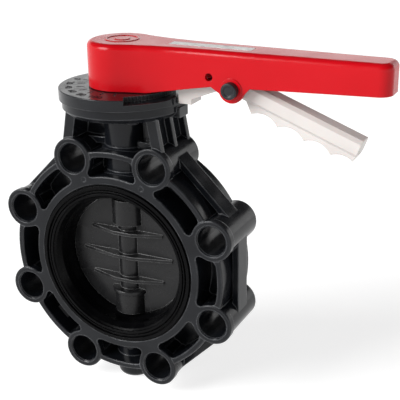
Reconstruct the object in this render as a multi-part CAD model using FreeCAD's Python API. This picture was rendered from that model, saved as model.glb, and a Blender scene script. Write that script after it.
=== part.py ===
import FreeCAD, Part
import math
import os
from FreeCAD import Vector

# Butterfly valve, wafer pattern, nominal bore 100 mm, lever operated. Millimetres.
# +Z runs up the stem, Y is the pipe axis, the lever points along +X while the disc is closed.
# The origin is the centre of the bore, halfway between the two flange faces.

os.makedirs("parts", exist_ok=True)

# ---- driving dimensions: body -------------------------------------------------------------
PCD = 180.0                   # bolt circle
BOLT_COUNT = 8
HOLE_R = 11.4                 # bolt hole
HOLE_CHAMFER = 1.2
BOSS_R = 15.3                 # boss tube round each bolt hole
COLLAR_R = 16.3               # thicker ring at the front end of a boss
COLLAR_LENGTH = 6.0
BOSS_ROUND = 2.0              # rounding of its back end
BODY_WIDTH = 52.0             # between the two flange faces
RING_WALL = 6.0               # inner ring, outside the recess for the liner's lip
RIB_HEIGHT = 6.5              # rib inside the inner ring, which the liner wraps
LIP_DEPTH = 7.0               # depth of the recess in each face that takes the liner's lip
ARC_WALL = 4.6                # thin walls between the bosses
ARC_SETBACK = 0.8             # how far their edges lie behind the flange face
ARC_PROUD = 2.0               # their outside, beyond the bolt circle's radius
BELT_WIDTH = 16.0             # octagonal belt round the middle
BELT_WALL = 5.0
BELT_SET_IN = 0.8             # the belt's flats lie this far inside the bosses' outsides
BELT_TRIM = 0.5               # and its corners this far
WEB_THICKNESS = 5.0           # floor between the pockets
WEB_FILLET = 3.0              # corners where a boss meets the inner ring and the arc walls
BRIDGE_HALF = 6.0             # least half width of the bridge from a boss to the inner ring
EDGE_ROUND = 1.0
EJECTOR_ANGLES = [69.0, 110.0]   # round ejector marks beside the two upper bosses
EJECTOR_SET_IN = 0.6          # from the inner ring's outside to their centres
EJECTOR_R = 2.0
EJECTOR_DEPTH = 0.4

# ---- neck, top flange and lower bearing ---------------------------------------------------
COLUMN_WALL = 3.45            # round the upper bush
COLUMN_FOOT = 2.5             # fillet ring at the foot of the column
COLUMN_STEP = 2.5             # shoulder under the top flange
COLUMN_STEP_HEIGHT = 4.0
NECK_INNER = 30.0             # side wall of the neck, from the stem axis
NECK_WALL = 3.0
NECK_RIB_OUT = 5.5            # how far the ribs stand out of the side wall
NECK_RIB_THICKNESS = 4.0
NECK_SPLAY = 7.0              # how far the side walls lean out at their feet
NECK_DEPTH = 46.0
NECK_WEB = 4.0                # wall between the column and the neck's sides
NECK_LENGTH = 38.5            # from the arc walls to the top of the body's own flange
TOP_FLANGE_R = 47.5
TOP_FLANGE_THICKNESS = 10.0
TOP_FLANGE_CHAMFER = 3.5
LUG_REACH = 2.5               # stop lug on the rim of the top flange
LUG_WIDTH = 13.0
LUG_HEIGHT = 7.5
LUG_ROOM = 3.25               # between the lug and the flange's top
LOWER_BEARING_WALL = 4.35     # round the lower bush
LOWER_BEARING_REACH = 16.0    # beyond the arc walls
LOWER_BEARING_FLOOR = 10.0
LOWER_BEARING_ROUND = 5.0

# ---- liner and disc -----------------------------------------------------------------------
BORE_R = 51.0                 # liner's bore where the disc seals
LINER_WALL = 9.0              # between the bore and the rib
MOUTH_STEP = 6.0              # how much wider the bore is at the liner's two faces
SEAT_STEP = 2.2               # and behind the seat
FACE_PROUD = 1.2              # liner stands this far out of the body, for the flange to squeeze
GROOVE_DEPTH = 2.0            # grooves between the ridges of the liner's faces
FACE_RIDGES = [(3.0, 4.6, 0.4), (5.6, 8.6, 0.0)]   # each ridge's two radii past the mouth, and its drop
SEAT_FRONT = -7.0             # where the sealing part of the bore ends
TAB_ANGLE = -135.0            # anchor tab in one of the body's pockets
TAB_SIZE = 12.0
TAB_REACH = 4.5               # beyond the inner ring
TAB_THICKNESS = 4.5
DISC_CLEARANCE = 0.3
DISC_THICKNESS = 10.0
DISC_SHAFT_WALL = 1.5         # slim middle of the disc's hub, outside the square's corners
DISC_UPPER_WALL = 4.5         # thick upper end, outside the stem
DISC_LOWER_WALL = 8.1         # thick lower end, outside the stem's lower part
DISC_COLLAR = 1.5             # collar at the top of the lower end
DISC_COLLAR_LENGTH = 4.0
DISC_HUB_LENGTH = 22.7        # each thick end, from the disc's rim
FIN_PITCH = 20.0
FIN_RAISE = 1.5
FIN_THICKNESS = 2.6
FIN_REACH = [32.0, 40.0, 32.0]
FIN_HEIGHT = 9.0
FIN_TIP = 1.5                 # height of a fin's blunt end

# ---- stem, bushes and seals ---------------------------------------------------------------
STEM_R = 9.5
STEM_SQUARE = 12.0
STEM_LOWER_R = 6.4
STEM_END = 6.7                # length of stem inside the disc beyond the square
STEM_COLLAR = 3.5             # how far the collar stands out of the stem
STEM_COLLAR_HEIGHT = 4.0
STEM_COLLAR_DROP = 0.3        # play between the collar and the dial plate
BUSH_WALL = 3.5
RUNNING = 0.05                # radial clearance of a turning fit
O_RING_SECTION = 1.2          # section radius of the stem seals
O_RING_SPACING = 12.0
THRUST_THICKNESS = 1.5
STEM_SEAT_DEPTH = 6.0         # recess in the top flange for the thrust washer and the collar

# ---- dial plate ---------------------------------------------------------------------------
PLATE_R = 49.5
PLATE_THICKNESS = 8.5
LEDGE_DROP = 3.7              # lowered rim of the plate
LEDGE_WIDTH = 10.5
LEDGE_FROM = -61.0            # the ledge's two ends, in degrees from the closed lever
LEDGE_TO = 106.0
NOTCH_PITCH = 5.0             # degrees between two stops of the lever
NOTCH_DEPTH = 1.4
NOTCH_FROM = -15.0
NOTCH_TO = 105.0
SERRATION_PITCH = 4.0         # fine teeth in the ledge's wall
SERRATION_DEPTH = 1.0
TICK_FROM = 162.0             # dial marks, read at the side away from the lever
TICK_STEP = 18.0
TICK_COUNT = 8
TICK_INNER_R = 30.0
TICK_LENGTH = 6.0
TICK_WIDTH = 1.3
TICK_DEPTH = 0.5
PLATE_SCREW_PCD = 66.0
PLATE_SCREW_ANGLES = [50.0, 130.0, 230.0, 310.0]
SCREW_R = 2.5
SCREW_HEAD_R = 4.2
SCREW_HEAD_HEIGHT = 3.4
SCREW_HEAD_ROUND = 0.5
SOCKET_DEPTH = 2.2
INSERT_R = 3.8
INSERT_HEIGHT = 5.0

# ---- lever handle -------------------------------------------------------------------------
HANDLE_HEIGHT = 34.0
HANDLE_GAP = 0.5              # under the handle's hub
HUB_R = 26.5
HANDLE_REACH = 206.0          # stem axis to the handle's end
HANDLE_FLANK = [(37.0, 18.8), (100.0, 15.9), (150.0, 14.6)]   # half widths along the handle
HANDLE_END_HALF = 13.6
HANDLE_END_ROUND = 8.5
HANDLE_HUB_HALF_ANGLE = 72.0  # where the hub's round runs into the flanks, in degrees from the lever's line
HANDLE_TOP_ROUND = 4.5
HANDLE_WALL = 3.0
HANDLE_ROOF = 4.0
HUB_FLAT_END = 30.0           # the bottom edge is level up to here
NECK_LIFT = 8.6               # how much the bottom edge has risen at the lug
GRIP_LIFT = 12.8              # and at the far end
DRIVE_SQUARE = 22.0
DRIVE_ROOF = 3.0              # solid above the square, which the screw's washer bears on
DRIVE_WALL = 2.9              # outside the square's corners
CAP_R = 13.4
CAP_THICKNESS = 2.6
CAP_ROOM = 2.2                # between the screw's head and the cap
CAP_RING = 1.1
CAP_RAISE = 0.4               # height of the cap's ring and centre
CAP_CENTRE_R = 6.0
HANDLE_SCREW_R = 4.0
HANDLE_SCREW_HEAD_R = 6.6
HANDLE_SCREW_HEAD_HEIGHT = 4.4
HANDLE_SOCKET_DEPTH = 2.5
HANDLE_WASHER_R = 9.0
HANDLE_WASHER_THICKNESS = 1.6
HANDLE_SCREW_ENGAGED = 16.0
SLACK = 0.2                   # loose fit of hidden parts
LABEL_START = 41.0
LABEL_LENGTH = 64.0
LABEL_WIDTH = 9.0
LABEL_THICKNESS = 0.9
LABEL_PROUD = 0.1
PADLOCK_X = 78.0
PADLOCK_RISE = 15.3           # above the handle's bottom
PADLOCK_R = 2.8

# ---- trigger ------------------------------------------------------------------------------
PIVOT_X = 95.0
PIVOT_RISE = 7.8              # above the handle's bottom
PIVOT_R = 4.0
PIVOT_HEAD_R = 5.9
PIVOT_HEAD_LENGTH = 5.0
PIVOT_DISH = 0.9
LUG_R = 9.6
PIVOT_PAD_R = 8.0
PIVOT_PAD_HALF = 16.6         # outside of the pads that the pin bears in
PIVOT_PAD_WALL = 5.0
PIVOT_END = 1.2               # how far the pin passes its clip
CLIP_THICKNESS = 1.8
CLIP_R = 6.0
CLIP_GAP = 3.0
TRIGGER_WIDTH = 16.0
TRIGGER_BOSS_R = 8.4
TAIL_ANGLE = 21.0             # how far the tail hangs below the handle
TAIL_LENGTH = 97.0            # from the pivot
TAIL_DEPTH = 13.0
TAIL_BEVEL = 2.6
GRIP_RIB_WIDTH = 11.0
GRIP_RIB_DEPTH = 7.0
SCALLOP_COUNT = 4
SCALLOP_PITCH = 21.0
SCALLOP_START = 17.0
SCALLOP_DEPTH = 4.2
NOSE_CLEARANCE = 0.35         # between the pawl teeth and the plate's notches
NOSE_LENGTH = 10.5
NOSE_RAISE = 0.8              # pawl's underside above the plate's underside
PAWL_TEETH = [-5.0, 0.0, 5.0]
PAWL_TOOTH_HEIGHT = 2.8
SPRING_OFFSET = 18.0          # beyond the pivot
SPRING_R = 3.6
SPRING_WIRE_R = 0.55
SPRING_TURNS = 5

# ---- values that follow from them ---------------------------------------------------------
BOLT_R = PCD / 2
HALF_WIDTH = BODY_WIDTH / 2
RIB_R = BORE_R + LINER_WALL
CHANNEL_R = RIB_R + RIB_HEIGHT
RING_R = CHANNEL_R + RING_WALL
MOUTH_R = BORE_R + MOUTH_STEP
ARC_R = BOLT_R + ARC_PROUD
BELT_APOTHEM = BOLT_R * math.cos(math.pi / BOLT_COUNT) + BOSS_R - BELT_SET_IN
HALF_STEP = 180.0 / BOLT_COUNT
TOP_FLANGE_Z = ARC_R + NECK_LENGTH
PLATE_BOTTOM = TOP_FLANGE_Z
PLATE_TOP = PLATE_BOTTOM + PLATE_THICKNESS
LEDGE_Z = PLATE_TOP - LEDGE_DROP
LEDGE_R = PLATE_R - LEDGE_WIDTH
FLANGE_BOTTOM = TOP_FLANGE_Z - TOP_FLANGE_THICKNESS
STEM_SEAT_Z = TOP_FLANGE_Z - STEM_SEAT_DEPTH
STEM_COLLAR_R = STEM_R + STEM_COLLAR
STEM_SEAT_R = STEM_COLLAR_R + 1.0
BUSH_R = STEM_R + RUNNING + BUSH_WALL
COLUMN_R = BUSH_R + COLUMN_WALL
LOWER_BUSH_R = STEM_LOWER_R + RUNNING + BUSH_WALL
LOWER_BEARING_R = LOWER_BUSH_R + LOWER_BEARING_WALL
LOWER_BEARING_Z = -ARC_R - LOWER_BEARING_REACH
STEM_BOTTOM = LOWER_BEARING_Z + LOWER_BEARING_FLOOR
HANDLE_BOTTOM = PLATE_TOP + HANDLE_GAP
HANDLE_TOP = HANDLE_BOTTOM + HANDLE_HEIGHT
CAP_Z = HANDLE_TOP - CAP_THICKNESS
SCREW_HEAD_Z = CAP_Z - CAP_ROOM - HANDLE_SCREW_HEAD_HEIGHT
WASHER_Z = SCREW_HEAD_Z - HANDLE_WASHER_THICKNESS
DRIVE_TOP = WASHER_Z - DRIVE_ROOF
DRIVE_COLUMN_R = DRIVE_SQUARE * math.sqrt(0.5) + DRIVE_WALL
PADLOCK_Z = HANDLE_BOTTOM + PADLOCK_RISE
PIVOT_Z = HANDLE_BOTTOM + PIVOT_RISE
SPRING_X = PIVOT_X + SPRING_OFFSET
DISC_R = BORE_R - DISC_CLEARANCE
DISC_SHAFT_R = STEM_SQUARE * math.sqrt(0.5) + DISC_SHAFT_WALL
DISC_UPPER_R = STEM_R + DISC_UPPER_WALL
DISC_LOWER_R = STEM_LOWER_R + DISC_LOWER_WALL
DISC_SHOULDER_Z = DISC_R - DISC_HUB_LENGTH
STEM_SQUARE_Z = DISC_R - STEM_END
NOSE_INNER = PLATE_R + NOSE_CLEARANCE
NOSE_BOTTOM = PLATE_BOTTOM + NOSE_RAISE
TRIGGER_HALF = TRIGGER_WIDTH / 2
CHANNEL_TOP = HANDLE_TOP - HANDLE_ROOF


# ---- helpers ------------------------------------------------------------------------------
def box(x0, x1, y0, y1, z0, z1):
    """A box between two corners."""
    return Part.makeBox(x1 - x0, y1 - y0, z1 - z0, Vector(x0, y0, z0))


def cyl_y(radius, y0, y1, x=0.0, z=0.0):
    """A cylinder along the pipe axis."""
    return Part.makeCylinder(radius, y1 - y0, Vector(x, y0, z), Vector(0, 1, 0))


def cyl_z(radius, z0, z1, x=0.0, y=0.0):
    """A cylinder along the stem axis."""
    return Part.makeCylinder(radius, z1 - z0, Vector(x, y, z0), Vector(0, 0, 1))


def ring_y(inner, outer, y0, y1):
    """A plain ring round the pipe axis."""
    return cyl_y(outer, y0, y1).cut(cyl_y(inner, y0 - 1, y1 + 1))


def ring_z(inner, outer, z0, z1):
    """A plain ring round the stem axis."""
    return cyl_z(outer, z0, z1).cut(cyl_z(inner, z0 - 1, z1 + 1))


def torus_z(radius, section, z):
    """An O-ring round the stem axis."""
    return Part.makeTorus(radius, section, Vector(0, 0, z), Vector(0, 0, 1))


def polygon(points):
    """A flat face through the points."""
    return Part.Face(Part.makePolygon([Vector(*p) for p in points + [points[0]]]))


def prism_xz(points, y0, y1):
    """An outline in the XZ plane, given thickness along Y."""
    return polygon([(x, y0, z) for x, z in points]).extrude(Vector(0, y1 - y0, 0))


def prism_xy(points, z0, z1):
    """An outline in the XY plane, given thickness along Z."""
    return polygon([(x, y, z0) for x, y in points]).extrude(Vector(0, 0, z1 - z0))


def polar(radius, degrees):
    """A point at a radius and an angle."""
    return radius * math.cos(math.radians(degrees)), radius * math.sin(math.radians(degrees))


def turned_y(shape, degrees):
    """A copy turned about the pipe axis, so that +X goes towards +Z."""
    return shape.rotated(Vector(0, 0, 0), Vector(0, -1, 0), degrees)


def turned_z(shape, degrees):
    """A copy turned about the stem axis."""
    return shape.rotated(Vector(0, 0, 0), Vector(0, 0, 1), degrees)


def mirrored_x(shape):
    """The shape's mirror image on the other side of the stem."""
    return shape.mirror(Vector(0, 0, 0), Vector(1, 0, 0))


def fused(shapes):
    """One solid out of several that overlap, joined one at a time."""
    whole = shapes[0]
    for piece in shapes[1:]:
        whole = whole.fuse(piece)
    return whole.removeSplitter()


def rounded(shape, radius, chosen):
    """The shape with the chosen edges rounded."""
    return shape.makeFillet(radius, [e for e in shape.Edges if chosen(e)])


def at_height(edge, z):
    """True for an edge that lies level at z."""
    return all(abs(v.Z - z) < 1e-6 for v in edge.Vertexes) and abs(edge.BoundBox.ZLength) < 1e-6


def at_end(edge, y):
    """True for an edge that lies in a plane across the pipe axis at y."""
    return abs(edge.BoundBox.YMin - y) < 1e-6 and abs(edge.BoundBox.YMax - y) < 1e-6


def save(name, shape):
    """Write one node."""
    solids = shape.Solids
    assert solids and all(s.isValid() for s in solids), name
    out = solids[0] if len(solids) == 1 else Part.makeCompound(solids)
    out.exportStep(f"parts/{name}.step")
    print(f"{name}: {len(solids)} solid(s), {shape.Volume / 1000:.2f} cm3")


def bolt_angles():
    """The bolts straddle the stem, half a step either side of it."""
    return [HALF_STEP + i * 360.0 / BOLT_COUNT for i in range(BOLT_COUNT)]


# ---- body ---------------------------------------------------------------------------------
def octagon(apothem, y0, y1):
    """A regular prism whose corners point at the bolts."""
    corners = [polar(apothem / math.cos(math.pi / BOLT_COUNT), a) for a in bolt_angles()]
    return prism_xz(corners, y0, y1)


def corner_fillet(from_axis):
    """Centre of a fillet at this distance from the bore's axis that touches the boss on the X axis,
    and the point where it touches that boss."""
    from_boss = COLLAR_R + WEB_FILLET
    x = (from_axis ** 2 - from_boss ** 2 + BOLT_R ** 2) / (2 * BOLT_R)
    z = math.sqrt(from_axis ** 2 - x ** 2)
    share = COLLAR_R / from_boss
    return (x, z), (BOLT_R + (x - BOLT_R) * share, z * share)


def bridge_fillets():
    """Height of the fillets along a bridge's flank, and their places: one at the ring and one at the boss,
    or the same place twice where a single fillet touches both."""
    height = BRIDGE_HALF + WEB_FILLET
    at_ring = math.sqrt((RING_R + WEB_FILLET) ** 2 - height ** 2)
    at_boss = BOLT_R - math.sqrt((COLLAR_R + WEB_FILLET) ** 2 - height ** 2)
    if at_ring < at_boss:
        return height, at_ring, at_boss
    x, z = corner_fillet(RING_R + WEB_FILLET)[0]
    return z, x, x


def ring_bridge():
    """Bridge from a boss to the inner ring, with hollow flanks."""
    z, near, far = bridge_fillets()
    ring_share = RING_R / (RING_R + WEB_FILLET)
    boss_share = COLLAR_R / (COLLAR_R + WEB_FILLET)
    ring_z, boss_z = z * ring_share, z * boss_share
    flank = [(RING_R - RING_WALL / 2, ring_z), (near * ring_share, ring_z),
             (BOLT_R + (far - BOLT_R) * boss_share, boss_z), (BOLT_R - HOLE_R, boss_z)]
    outline = flank + [(a, -b) for a, b in reversed(flank)]
    reach = HALF_WIDTH + 1
    hollows = []
    for side in (-1, 1):
        hollows += [cyl_y(WEB_FILLET, -reach, reach, x, side * z) for x in sorted({near, far})]
        if far > near:
            low, high = sorted((side * (z - WEB_FILLET), side * (z + WEB_FILLET)))
            hollows.append(box(near, far, -reach, reach, low, high))
    return prism_xz(outline, -HALF_WIDTH, HALF_WIDTH).cut(hollows)


def arc_gusset(side):
    """Filleted corner between a boss and the inside of the arc wall, on one side of the boss."""
    inner = ARC_R - ARC_WALL
    from_axis = inner - WEB_FILLET
    (x, z), (boss_x, boss_z) = corner_fillet(from_axis)
    middle = (inner + ARC_WALL / 2) / from_axis
    depth = (HOLE_R + BOSS_R) / 2 / COLLAR_R
    outline = [(x * inner / from_axis, side * z * inner / from_axis), (boss_x, side * boss_z),
               (BOLT_R + (boss_x - BOLT_R) * depth, side * boss_z * depth), (x * middle, side * z * middle)]
    reach = HALF_WIDTH - ARC_SETBACK
    return prism_xz(outline, -reach, reach).cut(cyl_y(WEB_FILLET, -reach - 1, reach + 1, x, side * z))


def boss(angle):
    """One bolt boss: a tube with a thicker front ring, filleted to the inner ring and the arc walls."""
    tube = cyl_y(BOSS_R, -HALF_WIDTH + EDGE_ROUND, HALF_WIDTH, BOLT_R)
    tube = rounded(tube, BOSS_ROUND, lambda e: at_end(e, HALF_WIDTH))
    collar = cyl_y(COLLAR_R, -HALF_WIDTH, -HALF_WIDTH + COLLAR_LENGTH, BOLT_R)
    collar = rounded(collar, EDGE_ROUND, lambda e: at_end(e, -HALF_WIDTH))
    return turned_y(fused([tube, collar, ring_bridge(), arc_gusset(1), arc_gusset(-1)]), angle)


def bolt_hole(angle):
    """One bolt hole with a chamfer at both mouths."""
    hole = cyl_y(HOLE_R, -HALF_WIDTH - 1, HALF_WIDTH + 1, BOLT_R)
    wide = HOLE_R + HOLE_CHAMFER
    front = Part.makeCone(wide, HOLE_R, HOLE_CHAMFER, Vector(BOLT_R, -HALF_WIDTH, 0), Vector(0, 1, 0))
    back = Part.makeCone(wide, HOLE_R, HOLE_CHAMFER, Vector(BOLT_R, HALF_WIDTH, 0), Vector(0, -1, 0))
    return turned_y(fused([hole, front, back]), angle)


def arc_wall():
    """The thin round wall between the bosses, the same at the front and the back."""
    reach = HALF_WIDTH - ARC_SETBACK
    wall = ring_y(ARC_R - ARC_WALL, ARC_R, -reach, reach)
    return rounded(wall, EDGE_ROUND, lambda e: at_end(e, -reach) or at_end(e, reach))


def neck_side(sign):
    """One side of the neck: a leaning wall with three ribs on its outside."""
    top, foot = FLANGE_BOTTOM + 1, BOLT_R * math.cos(math.radians(HALF_STEP))
    wall = [(NECK_INNER, top), (NECK_INNER + NECK_WALL, top),
            (NECK_INNER + NECK_WALL + NECK_SPLAY, foot), (NECK_INNER + NECK_SPLAY, foot)]
    rib = [(NECK_INNER, top), (NECK_INNER + NECK_WALL + NECK_RIB_OUT, top),
           (NECK_INNER + NECK_WALL + NECK_RIB_OUT + NECK_SPLAY, foot), (NECK_INNER + NECK_SPLAY, foot)]
    half = NECK_DEPTH / 2
    pieces = [prism_xz(wall, -half, half)]
    for y in (-half, -NECK_RIB_THICKNESS / 2, half - NECK_RIB_THICKNESS):
        pieces.append(prism_xz(rib, y, y + NECK_RIB_THICKNESS))
    side = fused(pieces)
    return side if sign > 0 else mirrored_x(side)


def neck_web():
    """Wall in the middle of the neck, from one side to the other."""
    top, foot = FLANGE_BOTTOM + 1, BOLT_R * math.cos(math.radians(HALF_STEP))
    half_top = NECK_INNER + NECK_WALL / 2
    half_foot = half_top + NECK_SPLAY
    outline = [(-half_top, top), (half_top, top), (half_foot, foot), (-half_foot, foot)]
    return prism_xz(outline, -NECK_WEB / 2, NECK_WEB / 2)


def ejector_mark(angle):
    """Shallow round mark in the front face."""
    x, z = polar(RING_R - EJECTOR_SET_IN, angle)
    return cyl_y(EJECTOR_R, -HALF_WIDTH - 1, -HALF_WIDTH + EJECTOR_DEPTH, x, z)


def column_foot(z):
    """The small flared ring where the column stands on a wall."""
    return Part.makeCone(COLUMN_R + COLUMN_FOOT, COLUMN_R, COLUMN_FOOT, Vector(0, 0, z))


def top_flange():
    """The body's own round flange under the dial plate, with its stop lug."""
    plate = cyl_z(TOP_FLANGE_R, FLANGE_BOTTOM, TOP_FLANGE_Z)
    plate = plate.makeChamfer(TOP_FLANGE_CHAMFER, [e for e in plate.Edges if at_height(e, FLANGE_BOTTOM)])
    lug_top = TOP_FLANGE_Z - LUG_ROOM
    lug = box(TOP_FLANGE_R - 6, TOP_FLANGE_R + LUG_REACH, -LUG_WIDTH / 2, LUG_WIDTH / 2,
              lug_top - LUG_HEIGHT, lug_top)
    return fused([plate, lug])


def plate_screw_places():
    """Where the screws hold the dial plate down."""
    return [polar(PLATE_SCREW_PCD / 2, a) for a in PLATE_SCREW_ANGLES]


def make_body():
    """The valve body: inner ring, bosses, walls, belt, neck, top flange and lower bearing."""
    reach = HALF_WIDTH
    ring = ring_y(RIB_R, RING_R, -reach, reach)
    ring = rounded(ring, EDGE_ROUND, lambda e: (at_end(e, -reach) or at_end(e, reach))
                   and e.BoundBox.XLength > 2 * RING_R - 1)
    belt = octagon(BELT_APOTHEM, -BELT_WIDTH / 2, BELT_WIDTH / 2).cut(
        octagon(BELT_APOTHEM - BELT_WALL, -BELT_WIDTH, BELT_WIDTH))
    belt = belt.common(cyl_y(BOLT_R + BOSS_R - BELT_TRIM, -BELT_WIDTH, BELT_WIDTH))
    web = octagon(BELT_APOTHEM - 1, -WEB_THICKNESS / 2, WEB_THICKNESS / 2).cut(
        cyl_y(RIB_R + 1, -WEB_THICKNESS, WEB_THICKNESS))
    web = web.common(cyl_y(BOLT_R + BOSS_R - BELT_TRIM - 1, -WEB_THICKNESS, WEB_THICKNESS))
    column = cyl_z(COLUMN_R, RIB_R + 1, FLANGE_BOTTOM + 1)
    step = cyl_z(COLUMN_R + COLUMN_STEP, FLANGE_BOTTOM - COLUMN_STEP_HEIGHT, FLANGE_BOTTOM + 1)
    bearing = cyl_z(LOWER_BEARING_R, LOWER_BEARING_Z, -RIB_R - 1)
    bearing = rounded(bearing, LOWER_BEARING_ROUND, lambda e: at_height(e, LOWER_BEARING_Z))
    pieces = [ring, belt, web, arc_wall(), column, step, bearing, top_flange()]
    pieces += [boss(a) for a in bolt_angles()]
    pieces += [neck_side(1), neck_side(-1), neck_web()]
    pieces += [column_foot(ARC_R - 1), column_foot(RING_R - 1)]
    body = fused(pieces)
    channel = LIP_DEPTH
    cuts = [cyl_y(RIB_R, -reach - 1, reach + 1),
            cyl_y(CHANNEL_R, -reach - 1, -reach + channel), cyl_y(CHANNEL_R, reach - channel, reach + 1),
            cyl_z(BUSH_R, RIB_R - 3, STEM_SEAT_Z + 1), cyl_z(STEM_SEAT_R, STEM_SEAT_Z, TOP_FLANGE_Z + 1),
            cyl_z(LOWER_BUSH_R, STEM_BOTTOM - 1, -RIB_R + 3), tab_block(SLACK)]
    cuts += [bolt_hole(a) for a in bolt_angles()]
    cuts += [ejector_mark(a) for a in EJECTOR_ANGLES]
    cuts += [cyl_z(SCREW_R, FLANGE_BOTTOM - 1, TOP_FLANGE_Z + 1, x, y) for x, y in plate_screw_places()]
    return body.cut(cuts).removeSplitter()


# ---- liner --------------------------------------------------------------------------------
def tab_block(grow):
    """The liner's anchor tab, which passes through the inner ring into a pocket."""
    half = TAB_SIZE / 2 + grow
    y1 = -HALF_WIDTH + LIP_DEPTH
    tab = box(CHANNEL_R - 2, RING_R + TAB_REACH + grow, y1 - TAB_THICKNESS - grow, y1, -half, half)
    return turned_y(tab, TAB_ANGLE)


def make_liner():
    """The rubber seat: a channel wrapped round the body's rib, with stepped sealing faces."""
    face = -HALF_WIDTH - FACE_PROUD
    lip = -HALF_WIDTH + LIP_DEPTH
    step_r = BORE_R + SEAT_STEP
    front = [(BORE_R, SEAT_FRONT), (step_r, SEAT_FRONT - 5), (step_r, lip - 1), (MOUTH_R - 1.2, face + 2.6),
             (MOUTH_R, face + 1.4), (MOUTH_R + 0.5, face + 0.3), (MOUTH_R + 2.2, face + 0.3)]
    for inner, outer, height in FACE_RIDGES:
        front += [(MOUTH_R + inner, face + GROOVE_DEPTH), (MOUTH_R + inner + 0.3, face + height),
                  (MOUTH_R + outer - 0.3, face + height), (MOUTH_R + outer, face + GROOVE_DEPTH)]
    front += [(CHANNEL_R, face + GROOVE_DEPTH), (CHANNEL_R, lip), (RIB_R, lip)]
    back = [(r, -y) for r, y in reversed(front)]
    outline = polygon([(r, y, 0) for r, y in front + back])
    liner = outline.revolve(Vector(0, 0, 0), Vector(0, 1, 0), 360)
    liner = liner.fuse(tab_block(0))
    holes = [cyl_z(STEM_R + RUNNING, 0, RIB_R + 9), cyl_z(STEM_LOWER_R + RUNNING, -RIB_R - 9, 0)]
    return liner.cut(holes).removeSplitter()


# ---- disc ---------------------------------------------------------------------------------
def fin(side, index):
    """One stiffening fin, which falls away from the hub to the disc's face."""
    z = FIN_RAISE + (1 - index) * FIN_PITCH
    face = -DISC_THICKNESS / 2
    outline = [(0, face + 1), (FIN_REACH[index] * side, face + 1),
               (FIN_REACH[index] * side, face - FIN_TIP),
               (DISC_SHAFT_R * 0.8 * side, face - FIN_HEIGHT), (0, face - FIN_HEIGHT)]
    return prism_xy(outline, z - FIN_THICKNESS / 2, z + FIN_THICKNESS / 2)


def make_disc():
    """The closing disc with its hub, inside one sphere so that it clears the liner at every angle."""
    half = DISC_THICKNESS / 2
    plate = cyl_y(DISC_R + 5, -half, half)
    shaft = cyl_z(DISC_SHAFT_R, -DISC_SHOULDER_Z - 1, DISC_SHOULDER_Z + 1)
    upper = cyl_z(DISC_UPPER_R, DISC_SHOULDER_Z, DISC_R + 5)
    lower = cyl_z(DISC_LOWER_R, -DISC_R - 5, -DISC_SHOULDER_Z)
    collar = cyl_z(DISC_LOWER_R + DISC_COLLAR, -DISC_SHOULDER_Z - DISC_COLLAR_LENGTH, -DISC_SHOULDER_Z)
    collar = rounded(collar, 1.4, lambda e: e.BoundBox.ZLength < 1e-6)
    shapes = [plate, shaft, upper, lower, collar]
    for index in range(len(FIN_REACH)):
        for side in (-1, 1):
            front = fin(side, index)
            shapes += [front, turned_z(front, 180)]
    disc = fused(shapes).common(Part.makeSphere(DISC_R))
    square = box(-STEM_SQUARE / 2, STEM_SQUARE / 2, -STEM_SQUARE / 2, STEM_SQUARE / 2,
                 -STEM_SQUARE_Z, STEM_SQUARE_Z)
    cuts = [square, cyl_z(STEM_R, STEM_SQUARE_Z, DISC_R + 6),
            cyl_z(STEM_LOWER_R, -DISC_R - 6, -STEM_SQUARE_Z),
            seal_groove(STEM_R, disc_seal_z()), seal_groove(STEM_LOWER_R, -disc_seal_z())]
    return disc.cut(cuts).removeSplitter()


def disc_seal_z():
    """Height of the seal in each end of the disc's hub."""
    return (STEM_SQUARE_Z + DISC_R) / 2 - 0.6


def seal_groove(radius, z):
    """A square groove for an O-ring, outside a shaft of the given radius."""
    return ring_z(radius - 1, radius + 2 * O_RING_SECTION, z - O_RING_SECTION, z + O_RING_SECTION)


def shaft_seal(radius, z):
    """An O-ring that fits that groove."""
    return torus_z(radius + O_RING_SECTION, O_RING_SECTION, z)


# ---- stem, bushes and seals ---------------------------------------------------------------
def stem_collar_top():
    """The collar sits just under the dial plate."""
    return TOP_FLANGE_Z - STEM_COLLAR_DROP


def make_stem():
    """Steel stem: round below, square through the disc, round in the neck, square for the lever."""
    half = STEM_SQUARE / 2
    lower = cyl_z(STEM_LOWER_R, STEM_BOTTOM + SLACK, -STEM_SQUARE_Z)
    middle = box(-half, half, -half, half, -STEM_SQUARE_Z, STEM_SQUARE_Z)
    upper = cyl_z(STEM_R, STEM_SQUARE_Z, HANDLE_BOTTOM - SLACK)
    head = box(-half, half, -half, half, HANDLE_BOTTOM - SLACK - 1, DRIVE_TOP - SLACK)
    collar_top = stem_collar_top()
    collar = cyl_z(STEM_COLLAR_R, collar_top - STEM_COLLAR_HEIGHT, collar_top)
    stem = fused([lower, middle, upper, head, collar])
    return stem.cut(cyl_z(HANDLE_SCREW_R, DRIVE_TOP - HANDLE_SCREW_ENGAGED, DRIVE_TOP + 1))


def bush_seal_heights():
    """Heights of the two seals inside the upper bush."""
    middle = (RIB_R + STEM_SEAT_Z) / 2
    return [middle - O_RING_SPACING / 2, middle + O_RING_SPACING / 2]


def outer_seal_heights():
    """Heights of the two seals outside the upper bush."""
    low, high = bush_seal_heights()
    return [low - O_RING_SPACING, high + O_RING_SPACING]


OUTER_SEAL_SECTION = O_RING_SECTION * 0.8


def make_upper_bush():
    """Bearing bush in the neck, grooved inside and outside for its seals."""
    tube = ring_z(STEM_R + RUNNING, BUSH_R, RIB_R + SLACK, STEM_SEAT_Z)
    depth = 2 * OUTER_SEAL_SECTION
    cuts = [seal_groove(STEM_R + RUNNING, z) for z in bush_seal_heights()]
    cuts += [ring_z(BUSH_R - depth, BUSH_R + 1, z - OUTER_SEAL_SECTION, z + OUTER_SEAL_SECTION)
             for z in outer_seal_heights()]
    return tube.cut(cuts)


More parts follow.
